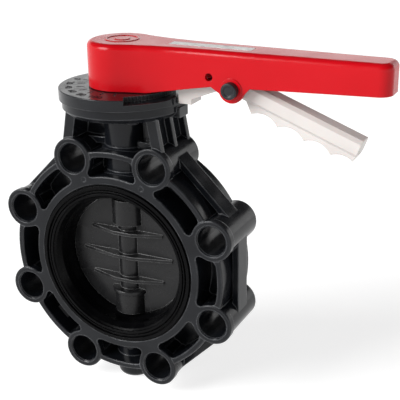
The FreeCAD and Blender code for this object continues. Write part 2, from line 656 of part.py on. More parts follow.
def make_lower_bush():
    """Bearing bush in the lower bearing, with one seal."""
    tube = ring_z(STEM_LOWER_R + RUNNING, LOWER_BUSH_R, STEM_BOTTOM - 1, -RIB_R - SLACK)
    return tube.cut(seal_groove(STEM_LOWER_R + RUNNING, lower_seal_z()))


def lower_seal_z():
    """Height of the seal inside the lower bush."""
    return -RIB_R - 3 * O_RING_SPACING / 4


# ---- dial plate ---------------------------------------------------------------------------
def sector(radius, start, stop, z0, z1):
    """A pie slice round the stem."""
    edges = [Part.makeLine(Vector(0, 0, z0), Vector(*polar(radius, start), z0)),
             Part.Arc(Vector(*polar(radius, start), z0), Vector(*polar(radius, (start + stop) / 2), z0),
                      Vector(*polar(radius, stop), z0)).toShape(),
             Part.makeLine(Vector(*polar(radius, stop), z0), Vector(0, 0, z0))]
    return Part.Face(Part.Wire(edges)).extrude(Vector(0, 0, z1 - z0))


def tooth_shape(base, tip, angle, pitch, z0, z1):
    """A straight-sided tooth on a circle, from its base radius to its tip radius."""
    wide, slim = pitch * 0.42, pitch * 0.16
    points = [polar(base, angle - wide), polar(tip, angle - slim),
              polar(tip, angle + slim), polar(base, angle + wide)]
    return prism_xy(points, z0, z1)


def notch_angles():
    """Angles of the stops in the plate's rim."""
    count = int(round((NOTCH_TO - NOTCH_FROM) / NOTCH_PITCH))
    return [NOTCH_FROM + i * NOTCH_PITCH for i in range(count + 1)]


def make_dial_plate():
    """Graduated plate with a lowered rim, notches for the pawl and a serrated wall."""
    plate = cyl_z(PLATE_R, PLATE_BOTTOM, PLATE_TOP)
    plate = rounded(plate, EDGE_ROUND * 0.6, lambda e: at_height(e, PLATE_TOP))
    ledge = sector(PLATE_R + 2, LEDGE_FROM, LEDGE_TO, LEDGE_Z, PLATE_TOP + 1).cut(
        cyl_z(LEDGE_R, LEDGE_Z - 1, PLATE_TOP + 2))
    cuts = [ledge]
    root = PLATE_R - NOTCH_DEPTH
    for angle in notch_angles():
        cuts.append(tooth_shape(PLATE_R + 1, root, angle, NOTCH_PITCH, PLATE_BOTTOM - 1, LEDGE_Z + 1))
    steps = int((LEDGE_TO - LEDGE_FROM) / SERRATION_PITCH) - 1
    for i in range(1, steps + 1):
        angle = LEDGE_FROM + (i + 0.5) * SERRATION_PITCH
        cuts.append(tooth_shape(LEDGE_R + 1, LEDGE_R - SERRATION_DEPTH, angle, SERRATION_PITCH,
                                LEDGE_Z, PLATE_TOP + 1))
    for i in range(TICK_COUNT):
        tick = box(TICK_INNER_R, TICK_INNER_R + TICK_LENGTH, -TICK_WIDTH / 2, TICK_WIDTH / 2,
                   PLATE_TOP - TICK_DEPTH, PLATE_TOP + 1)
        cuts.append(turned_z(tick, TICK_FROM + i * TICK_STEP))
    cuts.append(cyl_z(STEM_R + RUNNING, PLATE_BOTTOM - 1, PLATE_TOP + 1))
    cuts += [cyl_z(INSERT_R, PLATE_BOTTOM - 1, PLATE_BOTTOM + INSERT_HEIGHT, x, y)
             for x, y in plate_screw_places()]
    return plate.cut(cuts).removeSplitter()


def make_plate_inserts():
    """Brass threaded inserts in the underside of the dial plate."""
    return Part.makeCompound([cyl_z(INSERT_R, PLATE_BOTTOM, PLATE_BOTTOM + INSERT_HEIGHT, x, y).cut(
        cyl_z(SCREW_R, PLATE_BOTTOM - 1, PLATE_BOTTOM + INSERT_HEIGHT + 1, x, y))
        for x, y in plate_screw_places()])


def plate_screw(x, y):
    """One socket-head screw, driven from under the body's flange."""
    shank = cyl_z(SCREW_R, FLANGE_BOTTOM - 1, PLATE_BOTTOM + INSERT_HEIGHT - SLACK, x, y)
    head = cyl_z(SCREW_HEAD_R, FLANGE_BOTTOM - SCREW_HEAD_HEIGHT, FLANGE_BOTTOM, x, y)
    low = FLANGE_BOTTOM - SCREW_HEAD_HEIGHT
    head = rounded(head, SCREW_HEAD_ROUND, lambda e: at_height(e, low))
    socket = hexagon(SCREW_R * 0.9, low - 1, low + SOCKET_DEPTH, x, y)
    return fused([shank, head]).cut(socket)


def hexagon(radius, z0, z1, x=0.0, y=0.0):
    """A six-sided prism along the stem axis."""
    corners = [polar(radius, 60.0 * i) for i in range(6)]
    return prism_xy([(x + a, y + b) for a, b in corners], z0, z1)


# ---- handle -------------------------------------------------------------------------------
def handle_outline(inset, z):
    """The handle seen from above, drawn in by inset: round hub, waisted flanks, square end."""
    start = HANDLE_HUB_HALF_ANGLE
    radius = HUB_R - inset
    joint = polar(radius, start)
    end_x, end_half = HANDLE_REACH - inset, HANDLE_END_HALF - inset
    flank = [joint] + [(x, w - inset) for x, w in HANDLE_FLANK] + [(end_x, end_half)]
    along = Vector(math.sin(math.radians(start)), -math.cos(math.radians(start)), 0)
    upper = Part.BSplineCurve()
    upper.interpolate(Points=[Vector(x, y, z) for x, y in flank],
                      InitialTangent=along * 30, FinalTangent=Vector(60, -1, 0))
    lower = Part.BSplineCurve()
    lower.interpolate(Points=[Vector(x, -y, z) for x, y in flank],
                      InitialTangent=Vector(along.x, -along.y, 0) * 30, FinalTangent=Vector(60, 1, 0))
    hub = Part.Arc(Vector(joint[0], joint[1], z), Vector(-radius, 0, z), Vector(joint[0], -joint[1], z))
    end = Part.makeLine(Vector(end_x, end_half, z), Vector(end_x, -end_half, z))
    return Part.Wire(Part.sortEdges([hub.toShape(), upper.toShape(), end, lower.toShape()])[0])


def handle_blank(inset, z0, z1):
    """The outline as a solid, with its end corners rounded."""
    solid = Part.Face(handle_outline(inset, z0)).extrude(Vector(0, 0, z1 - z0))
    end_x = HANDLE_REACH - inset
    return rounded(solid, HANDLE_END_ROUND - inset,
                   lambda e: e.BoundBox.XMin > end_x - 1e-3 and e.BoundBox.YLength < 1e-6)


def handle_profile():
    """The handle seen from the side: level hub, rising waist, pivot lug and a long grip."""
    waist = HANDLE_BOTTOM + NECK_LIFT
    side = LUG_R * math.cos(math.radians(20))
    drop = LUG_R * math.sin(math.radians(20))
    left = Vector(PIVOT_X - side, 0, PIVOT_Z - drop)
    right = Vector(PIVOT_X + side, 0, PIVOT_Z - drop)
    points = [Vector(-HUB_R - 5, 0, HANDLE_BOTTOM), Vector(HUB_FLAT_END, 0, HANDLE_BOTTOM),
              Vector(PIVOT_X - LUG_R - 6, 0, waist), left]
    far, above = HANDLE_REACH + 5, HANDLE_TOP + 5
    tail = [right, Vector(PIVOT_X + LUG_R + 4, 0, waist + 1), Vector(far, 0, HANDLE_BOTTOM + GRIP_LIFT),
            Vector(far, 0, above), Vector(-HUB_R - 5, 0, above), points[0]]
    arc = Part.Arc(left, Vector(PIVOT_X, 0, PIVOT_Z - LUG_R), right).toShape()
    wire = Part.Wire(Part.makePolygon(points).Edges + [arc] + Part.makePolygon(tail).Edges)
    face = Part.Face(wire)
    face.translate(Vector(0, -HUB_R - 5, 0))
    return face.extrude(Vector(0, 2 * HUB_R + 10, 0))


def make_handle():
    """The red lever: a hollow shell, open below, with a drive hub and a pivot lug."""
    low = PIVOT_Z - LUG_R - 2
    blank = handle_blank(0, low, HANDLE_TOP)
    blank = rounded(blank, HANDLE_TOP_ROUND, lambda e: at_height(e, HANDLE_TOP))
    outer = blank.common(handle_profile())
    hollow = handle_blank(HANDLE_WALL, low - 1, CHANNEL_TOP)
    shell = outer.cut(hollow)
    column = cyl_z(DRIVE_COLUMN_R, HANDLE_BOTTOM, HANDLE_TOP - 1)
    column = column.common(handle_blank(HANDLE_WALL / 2, HANDLE_BOTTOM, HANDLE_TOP))
    half = DRIVE_SQUARE / 2
    inner_half = PIVOT_PAD_HALF - PIVOT_PAD_WALL
    pads = [cyl_y(PIVOT_PAD_R, y0, y1, PIVOT_X, PIVOT_Z)
            for y0, y1 in ((-PIVOT_PAD_HALF, -inner_half), (inner_half, PIVOT_PAD_HALF))]
    handle = fused([shell, column] + pads)
    label = box(LABEL_START, LABEL_START + LABEL_LENGTH, -LABEL_WIDTH / 2, LABEL_WIDTH / 2,
                HANDLE_TOP + LABEL_PROUD - LABEL_THICKNESS, HANDLE_TOP + 2)
    cuts = [box(-half, half, -half, half, HANDLE_BOTTOM - 1, DRIVE_TOP),
            cyl_z(HANDLE_SCREW_R + SLACK, DRIVE_TOP - 1, WASHER_Z + 1),
            cyl_z(HANDLE_WASHER_R + SLACK, WASHER_Z, CAP_Z + 1), cyl_z(CAP_R, CAP_Z, HANDLE_TOP + 1), label,
            cyl_y(PIVOT_R, -HUB_R, HUB_R, PIVOT_X, PIVOT_Z),
            cyl_y(PADLOCK_R, -HUB_R, HUB_R, PADLOCK_X, PADLOCK_Z)]
    return handle.cut(cuts).removeSplitter()


def make_drive_bush():
    """Metal square bush that carries the turning force from the handle to the stem."""
    outer, inner = DRIVE_SQUARE / 2, STEM_SQUARE / 2
    block = box(-outer, outer, -outer, outer, HANDLE_BOTTOM, DRIVE_TOP)
    return block.cut(box(-inner, inner, -inner, inner, HANDLE_BOTTOM - 1, DRIVE_TOP + 1))


def make_handle_screw():
    """Hexagon-socket screw that holds the handle down on the stem."""
    shank = cyl_z(HANDLE_SCREW_R, DRIVE_TOP - HANDLE_SCREW_ENGAGED + 1, SCREW_HEAD_Z + 1)
    head = cyl_z(HANDLE_SCREW_HEAD_R, SCREW_HEAD_Z, SCREW_HEAD_Z + HANDLE_SCREW_HEAD_HEIGHT)
    top = SCREW_HEAD_Z + HANDLE_SCREW_HEAD_HEIGHT
    return fused([shank, head]).cut(hexagon(HANDLE_SCREW_R * 0.85, top - HANDLE_SOCKET_DEPTH, top + 1))


def make_hub_cap():
    """Round cap over the screw, with a plain raised ring and centre."""
    cap = cyl_z(CAP_R, CAP_Z, HANDLE_TOP)
    ring = ring_z(CAP_R - 2 * CAP_RING, CAP_R - CAP_RING / 2, HANDLE_TOP - 1, HANDLE_TOP + CAP_RAISE)
    centre = cyl_z(CAP_CENTRE_R, HANDLE_TOP - 1, HANDLE_TOP + CAP_RAISE)
    return fused([cap, ring, centre])


def make_label():
    """Blank metal label strip let into the top of the handle."""
    top = HANDLE_TOP + LABEL_PROUD
    strip = box(LABEL_START, LABEL_START + LABEL_LENGTH, -LABEL_WIDTH / 2, LABEL_WIDTH / 2,
                top - LABEL_THICKNESS, top)
    return strip


def make_pivot_pin():
    """Pin that the trigger turns on, with a dished head at the front."""
    end = PIVOT_PAD_HALF + CLIP_THICKNESS + PIVOT_END
    shank = cyl_y(PIVOT_R, -PIVOT_PAD_HALF - 1, end, PIVOT_X, PIVOT_Z)
    front = -PIVOT_PAD_HALF - PIVOT_HEAD_LENGTH
    head = cyl_y(PIVOT_HEAD_R, front, -PIVOT_PAD_HALF, PIVOT_X, PIVOT_Z)
    head = rounded(head, EDGE_ROUND, lambda e: at_end(e, front))
    dish = Part.makeCone(PIVOT_HEAD_R * 0.72, PIVOT_HEAD_R * 0.5, PIVOT_DISH,
                         Vector(PIVOT_X, front, PIVOT_Z), Vector(0, 1, 0))
    return fused([shank, head]).cut(dish)


def make_pin_clip():
    """Retaining clip on the back end of the pin."""
    y0 = PIVOT_PAD_HALF
    clip = cyl_y(CLIP_R, y0, y0 + CLIP_THICKNESS, PIVOT_X, PIVOT_Z)
    gap = box(PIVOT_X - CLIP_GAP / 2, PIVOT_X + CLIP_GAP / 2, y0 - 1, y0 + CLIP_THICKNESS + 1,
              PIVOT_Z - CLIP_R - 1, PIVOT_Z - 1)
    return clip.cut([cyl_y(PIVOT_R, y0 - 1, y0 + CLIP_THICKNESS + 1, PIVOT_X, PIVOT_Z), gap])


# ---- trigger ------------------------------------------------------------------------------
def tail_bar():
    """The tail before it is turned down: a bevelled bar along +X from the pivot."""
    half, depth, bevel = TRIGGER_HALF, TAIL_DEPTH / 2, TAIL_BEVEL
    section = [(-half, -depth + bevel), (-half, depth - bevel), (-half + bevel, depth),
               (half - bevel, depth), (half, depth - bevel), (half, -depth + bevel),
               (half - bevel, -depth), (-half + bevel, -depth)]
    return polygon([(0, y, z) for y, z in section]).extrude(Vector(TAIL_LENGTH, 0, 0))


def grip_rib():
    """The narrower rib under the tail, scalloped for four fingers."""
    top, bottom = -TAIL_DEPTH / 2 + 1, -TAIL_DEPTH / 2 - GRIP_RIB_DEPTH
    half = GRIP_RIB_WIDTH / 2
    rib = prism_xz([(SCALLOP_START - 8, top), (TAIL_LENGTH, top), (TAIL_LENGTH - 2, bottom),
                    (SCALLOP_START, bottom)], -half, half)
    chord = SCALLOP_PITCH / 2
    radius = (chord ** 2 + SCALLOP_DEPTH ** 2) / (2 * SCALLOP_DEPTH)
    cuts = [cyl_y(radius, -half - 1, half + 1, SCALLOP_START + (i + 0.5) * SCALLOP_PITCH,
                  bottom + SCALLOP_DEPTH - radius) for i in range(SCALLOP_COUNT)]
    return rib.cut(cuts)


def make_trigger():
    """Trigger lever: pawl nose, pivot boss and finger tail in one moulding."""
    turn = Vector(PIVOT_X, 0, PIVOT_Z)
    tail = tail_bar().fuse(grip_rib())
    tail.rotate(Vector(0, 0, 0), Vector(0, 1, 0), TAIL_ANGLE)
    tail.translate(turn)
    half = TRIGGER_HALF
    boss_solid = cyl_y(TRIGGER_BOSS_R, -half, half, PIVOT_X, PIVOT_Z)
    nose_end = NOSE_INNER + NOSE_LENGTH
    nose_top = HANDLE_BOTTOM + 6
    arm = [(NOSE_INNER, NOSE_BOTTOM), (nose_end, NOSE_BOTTOM), (nose_end, NOSE_BOTTOM + 4),
           (PIVOT_X - 13, PIVOT_Z - 3.5), (PIVOT_X, PIVOT_Z - TRIGGER_BOSS_R + 1),
           (PIVOT_X, PIVOT_Z + TRIGGER_BOSS_R - 1), (NOSE_INNER + 6, nose_top), (NOSE_INNER, nose_top - 4)]
    nose = prism_xz(arm, -half, half)
    trigger = fused([nose, boss_solid, tail])
    trigger = trigger.cut(cyl_z(NOSE_INNER, NOSE_BOTTOM - 2, nose_top + 2))
    tooth_top = NOSE_BOTTOM + PAWL_TOOTH_HEIGHT
    tip = PLATE_R - NOTCH_DEPTH + NOSE_CLEARANCE
    teeth = [tooth_shape(NOSE_INNER + 2, tip, a, NOTCH_PITCH * 0.78, NOSE_BOTTOM, tooth_top)
             for a in PAWL_TEETH]
    trigger = fused([trigger] + teeth)
    return trigger.cut(cyl_y(PIVOT_R + RUNNING, -half - 1, half + 1, PIVOT_X, PIVOT_Z)).removeSplitter()


def spring_seat_z():
    """Height of the trigger's back under the spring."""
    slope = math.radians(TAIL_ANGLE)
    run = SPRING_X + SPRING_R - PIVOT_X
    return PIVOT_Z + (TAIL_DEPTH / 2) / math.cos(slope) - (run - 2 * SPRING_R) * math.tan(slope) + 1.0


def make_spring():
    """Compression spring between the trigger's back and the handle's roof."""
    low, high = spring_seat_z() + SPRING_WIRE_R, CHANNEL_TOP - SPRING_WIRE_R - 0.05
    helix = Part.makeHelix((high - low) / SPRING_TURNS, high - low, SPRING_R)
    wire = Part.Wire(helix.Edges)
    profile = Part.Wire(Part.makeCircle(SPRING_WIRE_R, Vector(SPRING_R, 0, 0), Vector(0, 1, 0)))
    coil = wire.makePipeShell([profile], True, True)
    coil.translate(Vector(SPRING_X, 0, low))
    return coil


def main():
    """Build and write every node."""
    save("valve_body", make_body())
    save("seat_liner", make_liner())
    save("upper_bush", make_upper_bush())
    save("lower_bush", make_lower_bush())
    save("stem_o_rings", Part.makeCompound([shaft_seal(STEM_R + RUNNING, z) for z in bush_seal_heights()]))
    save("bush_o_rings", Part.makeCompound([torus_z(BUSH_R - OUTER_SEAL_SECTION, OUTER_SEAL_SECTION, z)
                                            for z in outer_seal_heights()]))
    save("lower_stem_o_ring", shaft_seal(STEM_LOWER_R + RUNNING, lower_seal_z()))
    washer_top = STEM_SEAT_Z + THRUST_THICKNESS
    save("thrust_washer", ring_z(STEM_R + RUNNING, STEM_COLLAR_R, STEM_SEAT_Z, washer_top))
    save("dial_plate", make_dial_plate())
    save("plate_inserts", make_plate_inserts())
    save("plate_screws", Part.makeCompound([plate_screw(x, y) for x, y in plate_screw_places()]))
    save("disc", make_disc())
    save("disc_o_ring_upper", shaft_seal(STEM_R, disc_seal_z()))
    save("disc_o_ring_lower", shaft_seal(STEM_LOWER_R, -disc_seal_z()))
    save("stem", make_stem())
    save("handle", make_handle())
    save("drive_bush", make_drive_bush())
    save("handle_washer", ring_z(HANDLE_SCREW_R + SLACK, HANDLE_WASHER_R, WASHER_Z, SCREW_HEAD_Z))
    save("handle_screw", make_handle_screw())
    save("hub_cap", make_hub_cap())
    save("label_plate", make_label())
    save("pivot_pin", make_pivot_pin())
    save("pivot_pin_clip", make_pin_clip())
    save("trigger_spring", make_spring())
    save("trigger", make_trigger())


main()
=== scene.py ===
import math

import bpy
from mathutils import Matrix, Vector


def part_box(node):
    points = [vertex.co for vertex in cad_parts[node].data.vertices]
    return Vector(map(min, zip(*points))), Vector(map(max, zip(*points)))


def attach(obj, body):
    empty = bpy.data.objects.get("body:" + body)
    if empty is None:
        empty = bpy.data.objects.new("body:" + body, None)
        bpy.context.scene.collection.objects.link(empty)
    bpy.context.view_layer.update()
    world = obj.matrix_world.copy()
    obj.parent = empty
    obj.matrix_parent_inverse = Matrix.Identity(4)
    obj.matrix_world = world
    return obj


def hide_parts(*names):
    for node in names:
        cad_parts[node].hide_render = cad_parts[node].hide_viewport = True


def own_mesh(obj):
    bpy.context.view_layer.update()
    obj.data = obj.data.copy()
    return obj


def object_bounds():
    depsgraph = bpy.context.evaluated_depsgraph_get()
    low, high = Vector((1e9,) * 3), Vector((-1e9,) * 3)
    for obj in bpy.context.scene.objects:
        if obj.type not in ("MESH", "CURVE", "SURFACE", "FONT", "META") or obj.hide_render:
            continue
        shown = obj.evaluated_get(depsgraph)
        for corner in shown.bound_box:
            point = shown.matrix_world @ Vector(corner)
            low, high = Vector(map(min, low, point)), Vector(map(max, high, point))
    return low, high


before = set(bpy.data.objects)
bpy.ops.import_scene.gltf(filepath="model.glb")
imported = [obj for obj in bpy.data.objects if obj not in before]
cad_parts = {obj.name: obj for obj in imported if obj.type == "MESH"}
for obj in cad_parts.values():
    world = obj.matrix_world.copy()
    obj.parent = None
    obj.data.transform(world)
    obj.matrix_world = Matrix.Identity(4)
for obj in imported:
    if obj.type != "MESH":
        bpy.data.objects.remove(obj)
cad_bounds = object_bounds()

# A wafer butterfly valve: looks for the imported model. Metres, in the model's own frame.

# ---- camera -------------------------------------------------------------------------------
CAMERA_PLACE = (0.347, -0.584, 0.3045)
CAMERA_AZIMUTH = 26.0         # degrees from the front face towards the lever's side
CAMERA_ELEVATION = 21.0
CAMERA_ROLL = -0.77
CAMERA_LENS = 82.6            # millimetres
SENSOR_WIDTH = 36.0           # millimetres

# ---- light --------------------------------------------------------------------------------
PAPER_TONE = 0.44             # grey of the floor and of the backdrop
PAPER_UNEVEN = 0.01           # how far that grey wanders
FLOOR_GLOW = 0.74             # light that the floor gives off
FLOOR_REACH = 2.2             # the floor's width over the backdrop's radius
WALL_GLOW = 0.85              # light that the backdrop gives off
WALL_RADIUS = 6.0
WALL_HEIGHT = 2.3
WALL_SIDES = 96
ROOM = 0.08                   # light from all round
KEY = 4.4                     # the one lamp
KEY_DIRECTION = (0.59, 0.66, -0.47)
KEY_WIDTH = 34                # degrees; a wide lamp gives soft shadows

# ---- dial ---------------------------------------------------------------------------------
TICK_FROM = 162.0             # degrees, the same marks as the plate's grooves
TICK_STEP = 18.0
TICK_COUNT = 8
TICK_INNER = 0.0300
TICK_LENGTH = 0.0060
TICK_WIDTH = 0.0013
TICK_DEPTH = 0.0005
TICK_GAP = 0.00006            # taken off an inlay's length and width, and its chamfer
DIGIT_RADIUS = 0.0420
DIGIT_HEIGHT = 0.0058
DIGIT_THICKNESS = 0.0002
DIGIT_STEPS = 4               # straight pieces in each segment of a digit's outline
DIGIT_FIRST_TICK = 1          # the tick that reads zero
DIGIT_COUNT = TICK_COUNT - 2  # the first and the last tick have no number
FULLY_OPEN = 100              # percent, the last number
FONT_SIZE = 1.35              # the font's size over the height of its digits

# ---- spring's sizes -----------------------------------------------------------------------
COIL_TURNS = 5
COIL_STEPS = 32               # round one turn
WIRE_RADIUS = 0.00055
WIRE_SIDES = 10

# ---- shading ------------------------------------------------------------------------------
BEVEL_SAMPLES = 4
MIDDLE = (0.35, 0.65)         # the range that a noise pattern mostly stays in
RUBBED = (0.80, 0.985)        # the rounded and the plain normal's dot product, on an edge and off it
# the same for moulded plastic, whose paler edges are wear and, on the body, disc and dial plate, a
# painted highlight
THIN_EDGE_WEAR_AND_HIGHLIGHT = (0.86, 0.995)
EDGE_WEAR_AND_HIGHLIGHT_REACH = 1.2            # a paler edge's width over its rounding, on moulded plastic: wear, and a painted highlight on the body, disc and dial plate
METAL_MARKS = 700             # marks per metre
TURNED = (1, 1, 14)           # marks that run round the upright axis
FINELY_TURNED = (1, 1, 20)
STAIN_DARKER = 0.8
INK_LIGHTER = 1.5             # where ink is thin, with a little more added
INK_ADDED = 0.01


# ---- node helpers -------------------------------------------------------------------------
class Surface:
    """A Principled material, and the few node patterns that the finishes are made of."""

    def __init__(self, name, color, roughness):
        self.material = bpy.data.materials.new(name)
        self.material.use_nodes = True
        self.tree = self.material.node_tree
        self.shader = self.tree.nodes["Principled BSDF"]
        self.shader.inputs["Base Color"].default_value = (*color, 1)
        self.shader.inputs["Roughness"].default_value = roughness
        self.place = self.tree.nodes.new("ShaderNodeTexCoord").outputs["Object"]

    def node(self, kind, **settings):
        """A new node with its settings."""
        made = self.tree.nodes.new(kind)
        for key, value in settings.items():
            setattr(made, key, value)
        return made

    def link(self, source, target):
        """Join an output to an input."""
        self.tree.links.new(source, target)

    def noise(self, scale, detail=2.0, stretch=(1, 1, 1), distortion=0.0):
        """A noise pattern; scale is in features per metre."""
        mapping = self.node("ShaderNodeMapping")
        mapping.inputs["Scale"].default_value = stretch
        self.link(self.place, mapping.inputs["Vector"])
        noise = self.node("ShaderNodeTexNoise")
        noise.inputs["Scale"].default_value = scale
        noise.inputs["Detail"].default_value = detail
        noise.inputs["Distortion"].default_value = distortion
        self.link(mapping.outputs["Vector"], noise.inputs["Vector"])
        return noise.outputs["Fac"]

    def spread(self, value, low, high, part=MIDDLE):
        """Map a part of a pattern's range onto low to high."""
        ranged = self.node("ShaderNodeMapRange")
        ranged.inputs["From Min"].default_value = part[0]
        ranged.inputs["From Max"].default_value = part[1]
        ranged.inputs["To Min"].default_value = low
        ranged.inputs["To Max"].default_value = high
        self.link(value, ranged.inputs["Value"])
        return ranged.outputs["Result"]

    def mix(self, factor, first, second):
        """Mix two colours; each is a colour or an output."""
        mixed = self.node("ShaderNodeMix", data_type="RGBA")
        self.link(factor, mixed.inputs["Factor"])
        for value, socket in ((first, mixed.inputs["A"]), (second, mixed.inputs["B"])):
            if isinstance(value, tuple):
                socket.default_value = (*value, 1)
            else:
                self.link(value, socket)
        return mixed.outputs["Result"]

    def tint(self, pattern, first, second):
        """Wander between two colours with a pattern."""
        return self.mix(self.spread(pattern, 0, 1), first, second)

    def rubbed(self, color, worn, edge, patches, least, most):
        """A colour that turns to another along the edges, more in some patches than in others: wear,
        and on the dark body, disc and dial plate a painted highlight.
        """
        times = self.node("ShaderNodeMath", operation="MULTIPLY")
        self.link(edge, times.inputs[0])
        self.link(self.spread(patches, least, most), times.inputs[1])
        return self.mix(times.outputs["Value"], color, worn)

    def soft_edges(self, radius):
        """Round off sharp edges in the shading, and return that normal."""
        bevel = self.node("ShaderNodeBevel", samples=BEVEL_SAMPLES)
        bevel.inputs["Radius"].default_value = radius
        return bevel.outputs["Normal"]

    def edge_mask(self, radius, part=RUBBED):
        """A value that is 1 along sharp edges and 0 elsewhere."""
        rounded = self.soft_edges(radius)
        plain = self.node("ShaderNodeNewGeometry").outputs["Normal"]
        dot = self.node("ShaderNodeVectorMath", operation="DOT_PRODUCT")
        self.link(rounded, dot.inputs[0])
        self.link(plain, dot.inputs[1])
        return self.spread(dot.outputs["Value"], 1.0, 0.0, part)

    def paint(self, color):
        """Colour the surface with a pattern."""
        self.link(color, self.shader.inputs["Base Color"])

    def roughen(self, pattern, low, high):
        """Let the roughness follow a pattern."""
        self.link(self.spread(pattern, low, high), self.shader.inputs["Roughness"])

    def bumps(self, layers, normal=None):
        """Stack bump layers: each is a pattern, its strength and its height in metres."""
        for value, strength, height in layers:
            bump = self.node("ShaderNodeBump")
            bump.inputs["Strength"].default_value = strength
            bump.inputs["Distance"].default_value = height
            self.link(value, bump.inputs["Height"])
            if normal is not None:
                self.link(normal, bump.inputs["Normal"])
            normal = bump.outputs["Normal"]
        self.link(normal, self.shader.inputs["Normal"])

    def set(self, **values):
        """Constant values on the shader's own sockets."""
        for key, value in values.items():
            self.shader.inputs[key.replace("_", " ")].default_value = value


# ---- finishes -----------------------------------------------------------------------------
def moulded(name, dark, light, worn, roughness, gloss=0.25, edge=0.0008, grain=0.00003):
    """Moulded engineering plastic: flow marks, fine grain, and edges painted paler: wear on the
    bearings and the pin, a painted highlight on the body, disc and dial plate.
    """
    surface = Surface(name, dark, roughness)
    flow = surface.noise(22, detail=4, stretch=(1, 1, 2.2), distortion=0.6)
    fine = surface.noise(1500)
    patches = surface.noise(90, detail=3)
    color = surface.tint(flow, dark, light)
    mask = surface.edge_mask(edge * EDGE_WEAR_AND_HIGHLIGHT_REACH, THIN_EDGE_WEAR_AND_HIGHLIGHT)
    # the worn colour along the edges is a painted highlight on the body, disc and dial plate, and
    # wear on the others
    surface.paint(surface.rubbed(color, worn, mask, patches, least=0.25, most=0.85))
    surface.roughen(patches, roughness - 0.05, roughness + 0.07)
    surface.bumps([(fine, 0.3, grain), (surface.noise(60), 0.25, grain * 3)],
                  surface.soft_edges(edge))
    surface.set(Specular_IOR_Level=gloss)
    return surface.material


def red_plastic():
    """Glossy red handle with faint orange peel and a few fine hairlines."""
    surface = Surface("handle_red_plastic", (0.42, 0.002, 0.006), 0.22)
    tone = surface.noise(16, detail=3)
    color = surface.tint(tone, (0.405, 0.0015, 0.005), (0.44, 0.0025, 0.007))
    mask, patches = surface.edge_mask(0.0008), surface.noise(70, detail=3)
    surface.paint(surface.rubbed(color, (0.60, 0.02, 0.028), mask, patches, least=0.1, most=0.6))
    surface.roughen(surface.noise(45, detail=4), 0.15, 0.24)
    peel = surface.noise(420, detail=1)
    hairs = surface.noise(900, stretch=(0.04, 1, 1))
    surface.bumps([(peel, 0.10, 0.00003), (hairs, 0.06, 0.00002)],
                  surface.soft_edges(0.0009))
    surface.set(Specular_IOR_Level=0.18)
    return surface.material


def trigger_plastic():
    """Warm light grey trigger, paler along its edges."""
    surface = Surface("trigger_grey_plastic", (0.485, 0.45, 0.435), 0.42)
    tone = surface.noise(30, detail=4)
    color = surface.tint(tone, (0.465, 0.43, 0.415), (0.52, 0.49, 0.47))
    mask, patches = surface.edge_mask(0.0009), surface.noise(120, detail=3)
    surface.paint(surface.rubbed(color, (0.64, 0.60, 0.57), mask, patches, least=0.0, most=0.5))
    surface.roughen(surface.noise(80, detail=3), 0.36, 0.5)
    surface.bumps([(surface.noise(1300), 0.25, 0.00004)], surface.soft_edges(0.0007))
    surface.set(Subsurface_Weight=0.08, Subsurface_Scale=0.002)
    return surface.material


def rubber(name, dark, light, roughness, gloss=0.25):
    """Rubber: faintly bloomed, with a fine skin."""
    surface = Surface(name, dark, roughness)
    bloom = surface.noise(35, detail=5, distortion=0.4)
    surface.paint(surface.tint(bloom, dark, light))
    surface.roughen(surface.noise(120, detail=3), roughness - 0.06, roughness + 0.08)
    surface.bumps([(surface.noise(2200), 0.3, 0.00003), (surface.noise(50), 0.15, 0.0001)],
                  surface.soft_edges(0.0005))
    surface.set(Specular_IOR_Level=gloss)
    return surface.material


def metal(name, color, roughness, stretch):
    """Machined metal with fine turning or brushing marks along one direction."""
    surface = Surface(name, color, roughness)
    marks = surface.noise(METAL_MARKS, detail=4, stretch=stretch)
    stain = surface.noise(60, detail=4)
    darker = tuple(c * STAIN_DARKER for c in color)
    surface.paint(surface.tint(stain, darker, color))
    surface.roughen(marks, roughness - 0.08, roughness + 0.1)
    surface.bumps([(marks, 0.3, 0.00003)], surface.soft_edges(0.0003))
    surface.set(Metallic=1.0)
    return surface.material


def label_foil():
    """Blank silver label with patchy wear."""
    surface = Surface("label_silver", (0.8, 0.8, 0.8), 0.4)
    marks = surface.noise(1600, detail=4, stretch=(0.05, 1, 1))
    worn = surface.spread(surface.noise(420, stretch=(0.5, 1, 1)), 0, 1, (0.48, 0.68))
    surface.paint(surface.mix(worn, (0.76, 0.76, 0.75), (0.46, 0.46, 0.46)))
    surface.roughen(marks, 0.34, 0.5)
    surface.bumps([(marks, 0.2, 0.00002)], surface.soft_edges(0.0003))
    surface.set(Metallic=0.25)
    return surface.material


def ink(name, color):
    """Printed or inlaid paint, slightly uneven."""
    surface = Surface(name, color, 0.6)
    lighter = tuple(c * INK_LIGHTER + INK_ADDED for c in color)
    surface.paint(surface.tint(surface.noise(900, detail=3), color, lighter))
    surface.bumps([(surface.noise(1600), 0.3, 0.00003)])
    surface.set(Specular_IOR_Level=0.1)
    return surface.material


